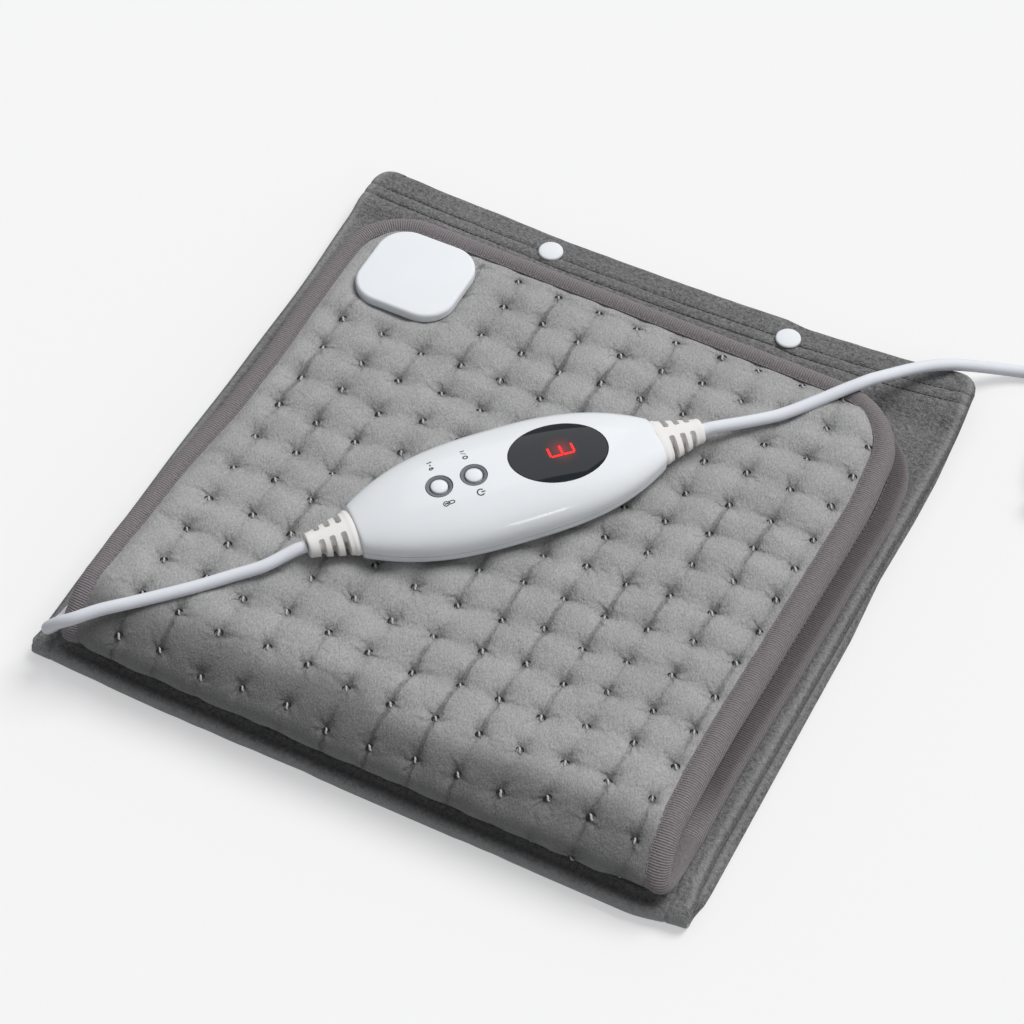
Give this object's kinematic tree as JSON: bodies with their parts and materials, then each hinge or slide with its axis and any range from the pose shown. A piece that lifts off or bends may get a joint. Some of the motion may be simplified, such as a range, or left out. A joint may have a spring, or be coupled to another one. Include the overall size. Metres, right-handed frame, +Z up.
{
  "type": "heating pad with controller",
  "caption": "Quilted heating pad folded on its folded fleece cover, with an inline push-button controller on top and its mains lead wound up beside it.",
  "frame": {"origin": "on the surface that the folded cover lies on, under the middle of the cover", "axes": "+X to the right along the cover's mouth, +Y from the folded edge towards the mouth, +Z up"},
  "size_m": [0.4732, 0.3729, 0.0607],
  "materials": {
    "plush_face": "short plush, matte",
    "binding_tape": "ribbed knitted tape, matte",
    "cover_fleece": "short fleece, matte",
    "carrier_felt": "non-woven, matte",
    "wire_sleeve": "smooth",
    "white_gloss": "polished",
    "relief_white": "satin",
    "cord_white": "satin",
    "smoked_window": "polished",
    "ring_grey": "satin",
    "board_green": "satin",
    "component_black": "satin",
    "component_yellow": "satin",
    "metal": "plated"
  },
  "bodies": {
    "pad_set": {"pad_face_ply": "plush_face", "pad_back_ply": "plush_face", "element_carrier": "carrier_felt", "heating_wire": "wire_sleeve", "overheat_cutout": "metal", "pad_binding": "binding_tape", "connector_plate": "white_gloss", "connector_base": "relief_white", "connector_screw_1": "metal", "connector_screw_2": "metal", "cover_outer_panel": "cover_fleece", "cover_inner_panel": "cover_fleece", "mouth_hem_upper": "cover_fleece", "mouth_hem_lower": "cover_fleece", "side_seam_left": "cover_fleece", "side_seam_right": "cover_fleece", "end_seam": "cover_fleece", "snap_cap_1": "white_gloss", "snap_socket_1": "white_gloss", "snap_stud_1": "white_gloss", "snap_back_1": "white_gloss", "snap_cap_2": "white_gloss", "snap_socket_2": "white_gloss", "snap_stud_2": "white_gloss", "snap_back_2": "white_gloss", "top_shell": "white_gloss", "bottom_shell": "white_gloss", "display_lens": "smoked_window", "digit_module": "component_black", "power_ring": "ring_grey", "heat_ring": "ring_grey", "power_switch": "component_black", "heat_switch": "component_black", "circuit_board": "board_green", "control_chip": "component_black", "fuse": "metal", "film_capacitor": "component_yellow", "smoothing_capacitor": "component_black", "triac": "component_black", "cord_clamp_pad": "component_black", "cord_clamp_mains": "component_black", "case_screw_1": "metal", "case_screw_2": "metal", "case_screw_3": "metal", "case_screw_4": "metal", "relief_pad_end": "relief_white", "relief_mains_end": "relief_white", "pad_lead": "cord_white", "mains_lead": "cord_white", "mains_coil": "cord_white", "mains_tail": "cord_white", "coil_tie": "component_black", "plug_relief": "cord_white", "plug_body": "cord_white", "plug_pin_left": "metal", "plug_pin_right": "metal"},
    "power_button": {"power_button": "white_gloss"},
    "heat_button": {"heat_button": "white_gloss"}
  },
  "joints": [
    {"name": "power_press", "type": "slide", "parent": "pad_set", "child": "power_button", "axis": [0, 0, -1], "range_m": [0, 0.0006], "stiffness_N_per_m": 1500},
    {"name": "heat_press", "type": "slide", "parent": "pad_set", "child": "heat_button", "axis": [0, 0, -1], "range_m": [0, 0.0006], "stiffness_N_per_m": 1500}
  ]
}
